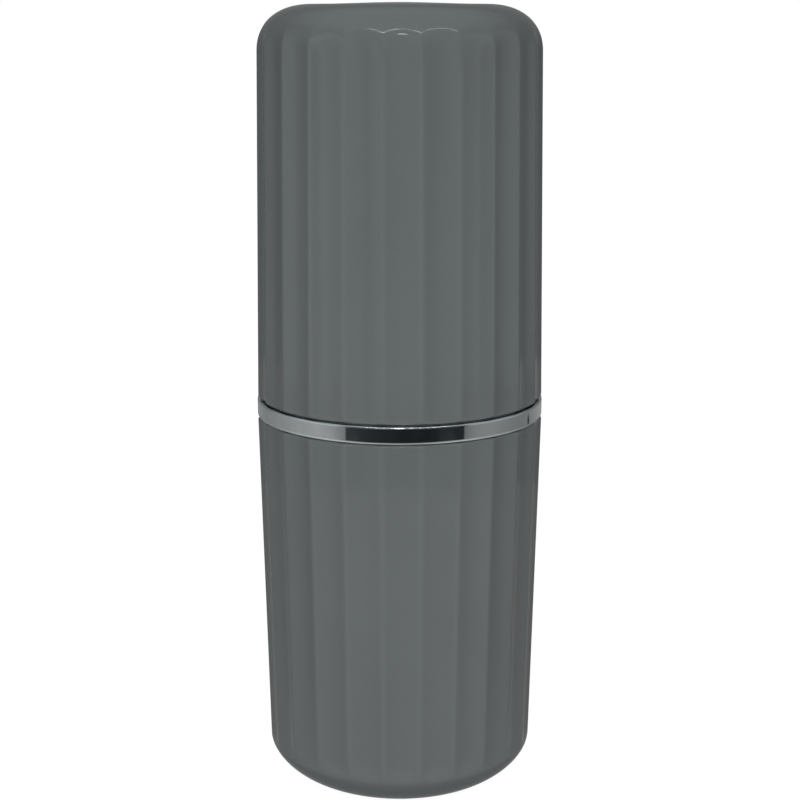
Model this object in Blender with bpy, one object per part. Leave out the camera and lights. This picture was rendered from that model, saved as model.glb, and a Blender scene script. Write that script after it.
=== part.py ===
"""Lidded toothbrush holder: a fluted lid stands on a fluted tumbler, with a plated ring in the joint.

The tumbler carries the ring on a spigot and holds a removable inner cup. The cup's neck stands above
the ring, the lid slips over it, and a perforated plate in its mouth keeps the brushes apart.
Units are metres, +Z is up, and the origin is under the holder's axis, on the surface it stands on.
Run with: blender --background --python part.py
"""

from math import asin, cos, hypot, pi, radians, sin, sqrt, tan

import bmesh
import bpy

# Clearances between pieces
SEAT_GAP = 0.0003  # between faces that rest on each other
SLIP_GAP = 0.0003  # between walls that slide past each other

# Plated ring
RING_RADIUS = 0.0376
RING_HEIGHT = 0.00446
RING_EDGE = 0.00045  # rounding of its four edges

# Flutes, shared by the lid and the tumbler
FLUTE_COUNT = 24
FLUTE_DEPTH = 0.001
FLUTE_LIP = 0.00035  # softness of the arch in which a flute ends at the lid's lower edge
COLUMNS_PER_FLUTE = 4

# Outer tumbler
TUMBLER_HEIGHT = 0.0996  # from the surface up to the shoulder that carries the ring
TUMBLER_INSET = 0.00002  # the shoulder's ridges lie this far inside the ring
TUMBLER_DRAFT = radians(1.37)
TUMBLER_EDGE = 0.0005  # rounding of the shoulder
SHOULDER_LAND = 0.0003  # flat left on the shoulder behind the flutes
TUMBLER_CORNER_WIDTH = 0.0119
TUMBLER_CORNER_HEIGHT = 0.0094
TUMBLER_CORNER_FULLNESS = 1.61  # 2 would be an ellipse, less is flatter
TUMBLER_FADE = (0.0085, 0.014)  # heights between which the flutes fade out above the corner
TUMBLER_FLOOR = 0.0014  # above the recess for the foot ring
SPIGOT_WALL = 0.00115

# Lid
LID_HEIGHT = 0.10128
LID_INSET = 0.0001
LID_DRAFT = radians(0.72)
LID_EDGE = 0.0011  # rounding of the lower edge
LID_CORNER_WIDTH = 0.0144
LID_CORNER_HEIGHT = 0.0119
LID_CORNER_FULLNESS = 2.25
LID_FADE = (0.004, 0.012)  # depths below the top between which the flutes fade in
LID_CROWN = 0.00045
LID_WALL = 0.0013  # behind the flutes
LID_ROOF = 0.0022

# Inner cup
CUP_WALL = 0.0016
CUP_FLOOR = 0.0018
CUP_FLOOR_GAP = 0.0006
FLANGE_THICKNESS = 0.0014
NECK_HEIGHT = 0.012  # above the ring
NECK_WALL = 0.0014
NECK_EDGE = 0.0005
LEDGE_WIDTH = 0.0014
LEDGE_MARGIN = 0.001  # the ledge's bore runs on this far below the divider's skirt
FUNNEL_HEIGHT = 0.0042  # where the wall thickens below the ledge

# Brush divider
PLATE_THICKNESS = 0.002
PLATE_DROP = 0.0015  # below the mouth of the neck
PLATE_EDGE = 0.0004
SKIRT_DEPTH = 0.005
SKIRT_WALL = 0.0014
BRUSH_HOLES = 3
BRUSH_HOLE_RADIUS = 0.008
PASTE_HOLE_RADIUS = 0.015
HOLE_WEB = 0.0035  # material between two brush holes
HOLE_MARGIN = 0.0012  # material between a hole and the skirt

# Soft foot ring
FOOT_PROUD = 0.0004  # it lifts the tumbler this far off the surface
FOOT_INSET = 0.001  # from the edge of the tumbler's flat underside
FOOT_WIDTH = 0.005
FOOT_THICKNESS = 0.0011
FOOT_EDGE = 0.00025

# Segments round a plain turned piece, a hole and a rounded edge
TURN_STEPS = 48
RING_STEPS = 96
HOLE_STEPS = 32
EDGE_STEPS = 2
CORNER_STEPS = 6

# Sizes that follow from the ones above
SHOULDER_RADIUS = RING_RADIUS - TUMBLER_INSET
SPIGOT_RADIUS = SHOULDER_RADIUS - FLUTE_DEPTH - TUMBLER_EDGE - SHOULDER_LAND
RING_BORE = SPIGOT_RADIUS + SLIP_GAP
BORE_RADIUS = SPIGOT_RADIUS - SPIGOT_WALL
TUMBLER_WALL = SHOULDER_RADIUS - BORE_RADIUS
MOUTH_RADIUS = RING_RADIUS - LID_INSET
RECESS_TOP = FOOT_THICKNESS + SEAT_GAP
BORE_FLOOR = RECESS_TOP + TUMBLER_FLOOR
BORE_CORNER = TUMBLER_CORNER_HEIGHT - TUMBLER_FLOOR
CUP_BOTTOM = BORE_FLOOR + CUP_FLOOR_GAP
RING_BOTTOM = TUMBLER_HEIGHT + SEAT_GAP
RING_TOP = RING_BOTTOM + RING_HEIGHT
LID_MOUTH = RING_TOP + SEAT_GAP
FLANGE_SEAT = RING_TOP - FLANGE_THICKNESS
SPIGOT_TOP = FLANGE_SEAT - SEAT_GAP
NECK_TOP = RING_TOP + NECK_HEIGHT
PLATE_SEAT = NECK_TOP - PLATE_DROP - PLATE_THICKNESS
LEDGE_TOP = PLATE_SEAT - SEAT_GAP
LEDGE_FOOT = PLATE_SEAT - SKIRT_DEPTH - LEDGE_MARGIN


def tumbler_radius(height):
    """Radius over the ridges of the tumbler's straight wall."""
    return SHOULDER_RADIUS - (TUMBLER_HEIGHT - height) * tan(TUMBLER_DRAFT)


def bore_radius(height):
    """Radius of the tumbler's bore, which keeps the wall's thickness down to the floor."""
    return tumbler_radius(height) - TUMBLER_WALL


def lid_bore_radius(height):
    """Radius inside the lid, at a height above the surface."""
    return MOUTH_RADIUS - FLUTE_DEPTH - LID_WALL - (height - LID_MOUTH) * tan(LID_DRAFT)


def cup_wall_radius(height):
    """Radius inside the inner cup's wall, which hangs clear of the tumbler's bore."""
    return bore_radius(min(height, TUMBLER_HEIGHT)) - SLIP_GAP - CUP_WALL


def neck_radius(height):
    """Outer radius of the inner cup's neck, which fills the lid's mouth but for the clearance."""
    return lid_bore_radius(height) - SLIP_GAP


def neck_bores():
    """Radius of the neck above the ledge, and radius of the ledge's own bore."""
    above = neck_radius(NECK_TOP) - NECK_WALL
    return above, above - LEDGE_WIDTH


def underside_radius():
    """Radius of the flat under the tumbler, inside its rounded corner."""
    return tumbler_radius(FOOT_PROUD + TUMBLER_CORNER_HEIGHT) - TUMBLER_CORNER_WIDTH


def arc(x, z, radius, start, end, steps=EDGE_STEPS):
    """Points of a circular arc in the profile plane, from one angle in degrees to another."""
    turns = [radians(start + (end - start) * k / steps) for k in range(steps + 1)]
    return [(x + radius * cos(a), z + radius * sin(a)) for a in turns]


def corner(x, z, width, height, fullness, steps):
    """A quarter of a superellipse about (x, z), from its side (angle 0) to its top (90 degrees)."""
    turns = [0.5 * pi * k / steps for k in range(steps + 1)]
    power = 2 / fullness
    return [(x + width * cos(a) ** power, z + height * sin(a) ** power) for a in turns]


def smooth_step(t):
    """0 below 0, 1 above 1, and an even S-curve between."""
    t = min(max(t, 0), 1)
    return t * t * (3 - 2 * t)


def material(name, colour, roughness, metallic=0.0):
    """A Principled material with one colour."""
    made = bpy.data.materials.new(name)
    made.use_nodes = True
    shader = made.node_tree.nodes["Principled BSDF"]
    shader.inputs["Base Color"].default_value = (*colour, 1)
    shader.inputs["Roughness"].default_value = roughness
    shader.inputs["Metallic"].default_value = metallic
    return made


def object_from(name, mesh_data, finish=None, parent=None, height=0.0):
    """Puts a bmesh into the scene as an object on the axis, at a height above the surface."""
    bmesh.ops.recalc_face_normals(mesh_data, faces=mesh_data.faces[:])
    mesh = bpy.data.meshes.new(name)
    mesh_data.to_mesh(mesh)
    mesh_data.free()
    mesh.shade_smooth()
    mesh.set_sharp_from_angle(angle=radians(35))
    made = bpy.data.objects.new(name, mesh)
    bpy.context.scene.collection.objects.link(made)
    if finish:
        mesh.materials.append(finish)
    made.parent = parent
    made.location.z = height - (parent.matrix_world.translation.z if parent else 0)
    bpy.context.view_layer.update()
    return made


def turned(profile, steps=TURN_STEPS, closed=False, base=0.0):
    """Spins a profile of (radius, height) round the axis. Heights are counted from base."""
    made = bmesh.new()
    points = [made.verts.new((x, 0, z - base)) for x, z in profile]
    pairs = list(zip(points, points[1:]))
    if closed:
        pairs.append((points[-1], points[0]))
    edges = [made.edges.new(pair) for pair in pairs]
    bmesh.ops.spin(
        made,
        geom=points + edges,
        cent=(0, 0, 0),
        axis=(0, 0, 1),
        angle=2 * pi,
        steps=steps,
        use_merge=True,
    )
    bmesh.ops.remove_doubles(made, verts=made.verts[:], dist=1e-7)
    bmesh.ops.dissolve_limit(
        made, angle_limit=radians(0.05), verts=made.verts[:], edges=made.edges[:]
    )
    return made


def depth_left(hollow, fall):
    """Depth that is left of a flute where the skin has fallen back from the wall's line.

    It is the larger of hollow - fall and 0 with the step between them rounded, so that a flute
    ends in an arch on a rounding. Where nothing has fallen back, it is the whole hollow.
    """
    lip = FLUTE_LIP * sqrt(min(fall / FLUTE_LIP, 1))
    rest = hollow - fall
    return 0.5 * (rest + hypot(rest, lip) + fall - hypot(fall, lip))


def fluted(profile, shares, falls, base=0.0):
    """A closed body with the outline of a profile that runs upwards, and concave flutes round it.

    Each flute is a parabola across, deepest at its middle, so two of them meet in a sharp ridge.
    shares gives the part of the full depth at each point of the profile, and falls tells how far
    the skin has fallen back there from the wall that the flutes are cut into. A flute lies at -Y.
    """
    made = bmesh.new()
    columns = FLUTE_COUNT * COLUMNS_PER_FLUTE
    hollow = []
    for k in range(columns):
        across = 2 * ((k % COLUMNS_PER_FLUTE) / COLUMNS_PER_FLUTE) - 1
        hollow.append(FLUTE_DEPTH * (1 - across * across))
    first = -0.5 * pi - pi / FLUTE_COUNT
    loops = []
    for (x, z), share, fall in zip(profile, shares, falls):
        loop = []
        for k in range(columns):
            angle = first + 2 * pi * k / columns
            radius = x - share * depth_left(hollow[k], fall)
            loop.append(made.verts.new((radius * cos(angle), radius * sin(angle), z - base)))
        loops.append(loop)
    for lower, upper in zip(loops, loops[1:]):
        for k in range(columns):
            after = (k + 1) % columns
            made.faces.new((lower[k], lower[after], upper[after], upper[k]))
    made.faces.new(loops[0])
    made.faces.new(loops[-1])
    return made


def cut(piece, cutter):
    """Takes a cutter's shape out of a piece, and keeps the cutter as a hidden guide."""
    cutter.hide_render = True
    cutter.display_type = "WIRE"
    boolean = piece.modifiers.new(cutter.name, "BOOLEAN")
    boolean.operation = "DIFFERENCE"
    boolean.solver = "EXACT"
    boolean.object = cutter


def tumbler_outline():
    """The tumbler's outer side from its underside up to the spigot, with each point's flute share."""
    foot = corner(
        underside_radius(),
        FOOT_PROUD + TUMBLER_CORNER_HEIGHT,
        TUMBLER_CORNER_WIDTH,
        -TUMBLER_CORNER_HEIGHT,
        TUMBLER_CORNER_FULLNESS,
        CORNER_STEPS,
    )
    edge_radius = SHOULDER_RADIUS - TUMBLER_EDGE
    rim = TUMBLER_HEIGHT - TUMBLER_EDGE
    plain, full = TUMBLER_FADE
    middle = 0.5 * (full + FOOT_PROUD + TUMBLER_CORNER_HEIGHT)
    skin = foot[::-1]
    skin += [(tumbler_radius(middle), middle), (tumbler_radius(full), full)]
    skin += arc(edge_radius, rim, TUMBLER_EDGE, 0, 90)
    shares = [smooth_step((z - plain) / (full - plain)) for _, z in skin]
    spigot = [(SPIGOT_RADIUS, TUMBLER_HEIGHT), (SPIGOT_RADIUS, SPIGOT_TOP)]
    return skin + spigot, shares + [0, 0]


def make_tumbler(finish):
    """Outer tumbler: a fluted body, bored out from above and recessed below for the foot ring."""
    profile, shares = tumbler_outline()
    body = fluted(profile, shares, [0] * len(profile))
    tumbler = object_from("outer_tumbler", body, finish)
    wall_foot = BORE_FLOOR + BORE_CORNER
    floor_edge = bore_radius(wall_foot) - BORE_CORNER
    above = SPIGOT_TOP + RING_HEIGHT
    core = [(0, above), (BORE_RADIUS, above), (BORE_RADIUS, TUMBLER_HEIGHT)]
    core += arc(floor_edge, wall_foot, BORE_CORNER, 0, -90, CORNER_STEPS)
    core += [(0, BORE_FLOOR)]
    cut(tumbler, object_from("tumbler_core", turned(core)))
    outer = underside_radius() - FOOT_INSET
    inner = outer - FOOT_WIDTH - 2 * SLIP_GAP
    below = -FOOT_THICKNESS
    recess = [(inner, RECESS_TOP), (outer, RECESS_TOP), (outer, below), (inner, below)]
    cut(tumbler, object_from("foot_recess", turned(recess, closed=True)))
    return tumbler


def make_trim_ring(finish, tumbler):
    """Plated ring: a flat band with four small roundings, pushed over the spigot."""
    top, bottom, edge = RING_TOP, RING_BOTTOM, RING_EDGE
    profile = arc(RING_RADIUS - edge, top - edge, edge, 90, 0)
    profile += arc(RING_RADIUS - edge, bottom + edge, edge, 0, -90)
    profile += arc(RING_BORE + edge, bottom + edge, edge, -90, -180)
    profile += arc(RING_BORE + edge, top - edge, edge, 180, 90)
    body = turned(profile, RING_STEPS, closed=True, base=RING_BOTTOM)
    return object_from("trim_ring", body, finish, tumbler, RING_BOTTOM)


def make_foot_ring(finish, tumbler):
    """Soft ring in the recess under the tumbler. The holder stands on it."""
    outside = underside_radius() - FOOT_INSET - SLIP_GAP
    inside = outside - FOOT_WIDTH
    profile = [(inside, FOOT_THICKNESS), (outside, FOOT_THICKNESS)]
    profile += [(outside, FOOT_EDGE), (outside - FOOT_EDGE, 0)]
    profile += [(inside + FOOT_EDGE, 0), (inside, FOOT_EDGE)]
    return object_from("foot_ring", turned(profile, closed=True), finish, tumbler)


def make_inner_cup(finish, tumbler):
    """Inner cup: hangs in the tumbler by its flange, with a neck above it for the lid to slip over."""
    inner_corner = BORE_CORNER - CUP_WALL
    floor = CUP_BOTTOM + CUP_FLOOR
    wall_foot = CUP_BOTTOM + BORE_CORNER
    foot_radius = bore_radius(wall_foot) - SLIP_GAP
    top_radius = BORE_RADIUS - SLIP_GAP
    inner_edge = foot_radius - CUP_WALL - inner_corner
    neck_inner, ledge_inner = neck_bores()
    funnel_foot = LEDGE_FOOT - FUNNEL_HEIGHT
    rim = NECK_TOP - NECK_EDGE
    profile = [(0, floor)]
    profile += arc(inner_edge, floor + inner_corner, inner_corner, -90, 0, CORNER_STEPS)
    profile += [(cup_wall_radius(funnel_foot), funnel_foot), (ledge_inner, LEDGE_FOOT)]
    profile += [(ledge_inner, LEDGE_TOP), (neck_inner, LEDGE_TOP)]
    profile += arc(neck_inner + NECK_EDGE, rim, NECK_EDGE, 180, 90)
    profile += arc(neck_radius(NECK_TOP) - NECK_EDGE, rim, NECK_EDGE, 90, 0)
    profile += [(neck_radius(RING_TOP), RING_TOP), (SPIGOT_RADIUS, RING_TOP)]
    profile += [(SPIGOT_RADIUS, FLANGE_SEAT), (top_radius, FLANGE_SEAT)]
    profile += [(top_radius, TUMBLER_HEIGHT)]
    profile += arc(foot_radius - BORE_CORNER, wall_foot, BORE_CORNER, 0, -90, CORNER_STEPS)
    profile += [(0, CUP_BOTTOM)]
    body = turned(profile, base=FLANGE_SEAT)
    return object_from("inner_cup", body, finish, tumbler, FLANGE_SEAT)


def hole_cutter(name, radius, x, y, divider):
    """A round cutter right through the divider's plate, at a place on it."""
    made = bmesh.new()
    bmesh.ops.create_cone(
        made,
        cap_ends=True,
        segments=HOLE_STEPS,
        radius1=radius,
        radius2=radius,
        depth=4 * PLATE_THICKNESS,
    )
    cutter = object_from(name, made, None, divider)
    cutter.location = (x, y, 0.5 * PLATE_THICKNESS)
    return cutter


def make_divider(finish, cup):
    """Brush divider: a plate on the neck's ledge, with a short skirt that centres it, and four holes."""
    neck_inner, ledge_inner = neck_bores()
    plate_radius = neck_inner - SLIP_GAP
    skirt_outer = ledge_inner - SLIP_GAP
    skirt_inner = skirt_outer - SKIRT_WALL
    top = PLATE_THICKNESS
    profile = [(0, top), (plate_radius - PLATE_EDGE, top), (plate_radius, top - PLATE_EDGE)]
    profile += [(plate_radius, 0), (skirt_outer, 0), (skirt_outer, -SKIRT_DEPTH)]
    profile += [(skirt_inner, -SKIRT_DEPTH), (skirt_inner, 0), (0, 0)]
    divider = object_from("brush_divider", turned(profile), finish, cup, PLATE_SEAT)
    reach = skirt_inner - HOLE_MARGIN
    circle = reach - BRUSH_HOLE_RADIUS
    spacing = 2 * asin((BRUSH_HOLE_RADIUS + 0.5 * HOLE_WEB) / circle)
    for k in range(BRUSH_HOLES):
        angle = 0.5 * pi + (k - 0.5 * (BRUSH_HOLES - 1)) * spacing
        x, y = circle * cos(angle), circle * sin(angle)
        cut(divider, hole_cutter(f"brush_hole_{k + 1}", BRUSH_HOLE_RADIUS, x, y, divider))
    y = PASTE_HOLE_RADIUS - reach
    cut(divider, hole_cutter("paste_hole", PASTE_HOLE_RADIUS, 0, y, divider))
    return divider


def lid_outline():
    """The lid's outer side from its lower edge up to the crown, with each point's share and fall.

    The flutes are cut straight through the lower edge, where the fall is how far the rounding lies
    inside the wall. On the top rounding their share fades out upwards.
    """
    top = LID_MOUTH + LID_HEIGHT
    corner_foot = top - LID_CROWN - LID_CORNER_HEIGHT
    corner_radius = MOUTH_RADIUS - (corner_foot - LID_MOUTH) * tan(LID_DRAFT)
    centre = corner_radius - LID_CORNER_WIDTH
    rim = LID_MOUTH + LID_EDGE
    skin = arc(MOUTH_RADIUS - LID_EDGE, rim, LID_EDGE, -90, 0)
    falls = [max(MOUTH_RADIUS - x, 0) for x, _ in skin]
    skin += corner(
        centre,
        corner_foot,
        LID_CORNER_WIDTH,
        LID_CORNER_HEIGHT,
        LID_CORNER_FULLNESS,
        CORNER_STEPS + 2,
    )
    skin += [(0.4 * centre, top)]
    falls += [0] * (len(skin) - len(falls))
    plain, full = LID_FADE
    shares = [smooth_step((top - z - plain) / (full - plain)) for _, z in skin]
    return skin, shares, falls


def make_lid(finish, cup):
    """Lid: a fluted body with a rounded top, hollowed out to an even wall."""
    profile, shares, falls = lid_outline()
    body = fluted(profile, shares, falls, LID_MOUTH)
    lid = object_from("lid", body, finish, cup, LID_MOUTH)
    roof = LID_MOUTH + LID_HEIGHT - LID_CROWN - LID_ROOF
    height = LID_CORNER_HEIGHT - LID_ROOF
    width = LID_CORNER_WIDTH - LID_WALL - FLUTE_DEPTH
    wall_top = roof - height
    shoulder = corner(
        lid_bore_radius(wall_top) - width,
        wall_top,
        width,
        height,
        LID_CORNER_FULLNESS,
        CORNER_STEPS,
    )
    below = LID_MOUTH - RING_HEIGHT
    mouth = lid_bore_radius(LID_MOUTH)
    core = [(0, roof)] + shoulder[::-1] + [(mouth, LID_MOUTH), (mouth, below), (0, below)]
    cutter = object_from("lid_core", turned(core, base=LID_MOUTH), None, lid, LID_MOUTH)
    cut(lid, cutter)
    return lid


def clear_scene():
    """Takes every object out of the scene."""
    for old in list(bpy.data.objects):
        bpy.data.objects.remove(old)


def main():
    """Builds the six pieces, each with its own material."""
    clear_scene()
    slate = (0.124, 0.137, 0.135)
    tumbler = make_tumbler(material("tumbler_plastic", slate, 0.38))
    make_trim_ring(material("plated_ring", (0.72, 0.73, 0.74), 0.06, 1.0), tumbler)
    make_foot_ring(material("foot_rubber", (0.03, 0.032, 0.033), 0.8), tumbler)
    cup = make_inner_cup(material("cup_plastic", slate, 0.42), tumbler)
    make_divider(material("divider_plastic", slate, 0.42), cup)
    make_lid(material("lid_plastic", slate, 0.38), cup)


main()
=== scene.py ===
# %% [markdown]
# # A lidded toothbrush holder
#
# The holder is a slim fluted column in two halves. The lower half is a tumbler, the upper half is
# a lid that lifts off, and a bright plated ring lies in the joint between them. Inside hangs a cup
# with a plate that keeps the brushes apart.
#
# Each piece is a surface of two parameters: one runs along a profile, which starts and ends on
# the axis or closes on itself, and the other runs round the axis. The pieces could also be turned
# with a Screw modifier and fluted with 24 cutters, but a formula keeps every flute alike, and lets
# it fade out softly where the mould ends it.

from math import asin, cos, pi, radians, sin, tan

import bpy
import numpy as np
from mathutils import Matrix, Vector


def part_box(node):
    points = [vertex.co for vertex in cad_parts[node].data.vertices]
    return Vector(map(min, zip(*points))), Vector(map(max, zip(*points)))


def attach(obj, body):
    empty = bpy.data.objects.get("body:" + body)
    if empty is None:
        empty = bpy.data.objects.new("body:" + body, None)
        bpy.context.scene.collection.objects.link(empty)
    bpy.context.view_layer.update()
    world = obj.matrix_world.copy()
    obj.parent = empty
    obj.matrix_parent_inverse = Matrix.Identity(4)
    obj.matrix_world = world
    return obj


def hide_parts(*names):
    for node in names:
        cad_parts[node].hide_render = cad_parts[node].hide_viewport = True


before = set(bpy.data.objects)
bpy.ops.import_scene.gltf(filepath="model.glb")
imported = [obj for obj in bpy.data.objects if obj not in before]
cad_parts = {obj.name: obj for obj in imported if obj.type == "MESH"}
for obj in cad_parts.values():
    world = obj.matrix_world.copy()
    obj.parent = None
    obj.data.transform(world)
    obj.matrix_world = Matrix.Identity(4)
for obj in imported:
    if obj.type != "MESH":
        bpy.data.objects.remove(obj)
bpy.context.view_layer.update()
MM = 0.001

# %% [markdown]
# ## Camera
#
# The photograph was taken from a little above the lid's shoulder with a long lens. A pinhole
# camera was fitted to the holder's outline and to the ring's ellipses. It stands 450 mm from the
# axis and 204 mm above the table, looks down by 12.67 degrees, and stands 0.85 degrees to the left
# of the middle of the front flute. A lens is given to Blender in millimetres on a sensor 36 mm
# wide, so the fitted focal length in pixels is scaled to that.

# %% The camera at the photograph's view
DISTANCE = 450 * MM
EYE_HEIGHT = 204 * MM
PITCH = radians(12.67)
SIDE_STEP = radians(0.85)
FOCAL_PIXELS = 1735.5
IMAGE_PIXELS = 800
SHIFT_PIXELS = 0.35

lens_data = bpy.data.cameras.new("photo_camera")
lens_data.sensor_width = 36
lens_data.lens = FOCAL_PIXELS * lens_data.sensor_width / IMAGE_PIXELS
lens_data.clip_start = 0.01
lens_data.shift_x = SHIFT_PIXELS / IMAGE_PIXELS
camera = bpy.data.objects.new("photo_camera", lens_data)
camera.location = (-DISTANCE * sin(SIDE_STEP), -DISTANCE * cos(SIDE_STEP), EYE_HEIGHT)
camera.rotation_euler = (pi / 2 - PITCH, 0, -SIDE_STEP)
bpy.context.scene.collection.objects.link(camera)
bpy.context.scene.camera = camera
bpy.context.scene.view_settings.view_transform = "Standard"
print(f"lens {lens_data.lens:.1f} mm")

# %% [markdown]
# ## Profiles
#
# A moulded piece is mostly straight walls and soft corners. Its profile is drawn in the half plane
# of (radius, height): arcs for the small edges, a superellipse for the two large corners, whose
# curve is fuller or flatter than an ellipse, and straight stretches between them. A Bevel modifier
# could round the edges afterwards, but it knows only circles. A point close to each end of a
# straight stretch keeps the shading of a flat wall flat.

# %% Arcs and corners
def arc(x, z, radius, start, end, steps=8):
    """Points on a circle: centre plus radius times (cos, sin) of an angle from start to end."""
    turn = np.radians(np.linspace(start, end, steps + 1))
    return np.stack([x + radius * np.cos(turn), z + radius * np.sin(turn)], axis=1)


def superellipse(x, z, width, height, fullness, steps=44):
    """Quarter superellipse: width times cos to the power 2/n, height times sin to the power 2/n.

    It starts at its top (x, z + height) and ends at its side (x + width, z).
    """
    turn = np.linspace(pi / 2, 0, steps + 1)
    spread = 2 / fullness
    across = np.clip(np.cos(turn), 0, 1) ** spread
    up = np.clip(np.sin(turn), 0, 1) ** spread
    return np.stack([x + width * across, z + height * up], axis=1)


# %% Whole profiles
SAME_POINT = 0.00001 * MM


def profile(*runs, longest=6 * MM, margin=0.25 * MM):
    """Joins runs of points, and adds points along each stretch longer than 2.5 times margin."""
    points = np.vstack([np.atleast_2d(run) for run in runs])
    gaps = np.hypot(*np.diff(points, axis=0).T)
    points = points[np.append(True, gaps > SAME_POINT)]
    along = np.append(0, np.cumsum(np.hypot(*np.diff(points, axis=0).T)))
    extra = [along]
    for start, end in zip(along, along[1:]):
        if end - start > 2.5 * margin:
            inner = np.linspace(start, end, int((end - start) / longest) + 2)[1:-1]
            extra.append(np.concatenate([[start + margin, end - margin], inner]))
    stations = np.unique(np.round(np.concatenate(extra), 9))
    return np.stack([np.interp(stations, along, points[:, k]) for k in (0, 1)], axis=1)


# %% Soft kinks and soft steps
def relaxed(points, times):
    """Softens kinks: each inner point moves halfway to the middle of its neighbours, over again."""
    for _ in range(times):
        points[1:-1] = (points[:-2] + 2 * points[1:-1] + points[2:]) / 4
    return points


def smooth_step(t):
    """0 below 0, 1 above 1, and 3t^2 - 2t^3 between."""
    t = np.clip(t, 0, 1)
    return t * t * (3 - 2 * t)


corner_middle = superellipse(0, 0, 1, 1, 2, steps=2)[1]
print(f"fullness 2 is a circle: its middle lies {np.hypot(*corner_middle):.2f} from the centre")

# %% [markdown]
# ## Flutes
#
# Twenty-four concave flutes run up both halves and meet in ridges that are crisp but not sharp
# enough to cut. Across, each one is a parabola about 1 mm deep. A mould's ridge always has a small
# radius, so the depth goes through a soft absolute value, which rounds the ridge and leaves the
# hollow beside it nearly as it was. The columns of the surface crowd together at the ridges, where
# the shape turns.
#
# The flutes are cut into the straight wall. Where the lid's lower edge falls back from the wall's
# line, less of the cut is left, so each flute ends there in an arch, as if the cutter had run out.

# %% The columns round the axis and how deep each lies
FLUTES = 24
FLUTE_DEPTH = 1.0 * MM
FLUTE_LIP = 0.35 * MM
RIDGE_SOFTNESS = 0.3 * MM
COLUMNS_PER_FLUTE = 20


def flute_columns():
    """Angles round the axis, crowded at the ridges, and the depth of the flute at each angle.

    Across a flute u goes from -1 to 1 as sin(t), the depth d is (FLUTE_DEPTH + s / 2) (1 - u^2),
    and the soft ridge is sqrt(d^2 + s^2) - s.
    """
    t = np.arange(COLUMNS_PER_FLUTE) / COLUMNS_PER_FLUTE * pi - pi / 2
    u = np.sin(t)
    depth = (FLUTE_DEPTH + RIDGE_SOFTNESS / 2) * (1 - u * u)
    depth = np.sqrt(depth**2 + RIDGE_SOFTNESS**2) - RIDGE_SOFTNESS
    middles = 2 * pi * np.arange(FLUTES) / FLUTES - pi / 2
    angles = middles[:, None] + u[None, :] * pi / FLUTES
    return angles.ravel(), np.tile(depth, FLUTES)


def plain_columns(count):
    """Even angles round the axis, and no depth."""
    return 2 * pi * np.arange(count) / count, np.zeros(count)


deepest = 1000 * flute_columns()[1].max()
print(f"{FLUTES} flutes of {COLUMNS_PER_FLUTE} columns, {deepest:.2f} mm deep")


# %% What is left of a flute, and rows along a line
def depth_left(depth, fall):
    """Depth that is left of a flute where the skin has fallen back from the wall's line.

    With the softness s, which grows from 0 with the fall, h(a) = (a + sqrt(a^2 + s^2)) / 2 rounds
    the step at 0, and h(depth - fall) - h(-fall) is left.
    """
    soft = FLUTE_LIP * np.sqrt(np.clip(fall / FLUTE_LIP, 0, 1))
    rest = depth - fall
    return (rest + np.hypot(rest, soft) + fall - np.hypot(fall, soft)) / 2


def line_rows(start, end, length, count=10):
    """Points from a start towards an end, over a stretch of the given height."""
    (x0, z0), (x1, z1) = start, end
    t = np.linspace(0, length / abs(z1 - z0), count)[:, None]
    return np.array([x0, z0]) + t * np.array([x1 - x0, z1 - z0])


# %% [markdown]
# ## Turned surfaces
#
# Every piece comes from one function. It takes a profile and the columns, and works out every
# point at once: the radius of the profile less what is left of the flute's depth at that height.
# Where the profile starts or ends on the axis the whole row is one point, so the surface is closed
# by a fan there. A second function measures the volume that a surface encloses. It is negative
# when the faces point inwards, which is easy to get wrong and hard to see.

# %% From a profile to a mesh
def mesh_object(name, points, quads, fans):
    """Puts arrays of points, four-sided faces and triangles into a new smooth object."""
    corners = np.concatenate([quads.ravel(), fans.ravel()])
    totals = np.concatenate([np.full(len(quads), 4), np.full(len(fans), 3)])
    mesh = bpy.data.meshes.new(name)
    mesh.vertices.add(len(points))
    mesh.vertices.foreach_set("co", points.ravel())
    mesh.loops.add(len(corners))
    mesh.loops.foreach_set("vertex_index", corners)
    mesh.polygons.add(len(totals))
    mesh.polygons.foreach_set("loop_start", np.cumsum(totals) - totals)
    mesh.polygons.foreach_set("loop_total", totals)
    mesh.update(calc_edges=True)
    mesh.shade_smooth()
    made = bpy.data.objects.new(name, mesh)
    bpy.context.scene.collection.objects.link(made)
    return made


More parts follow.
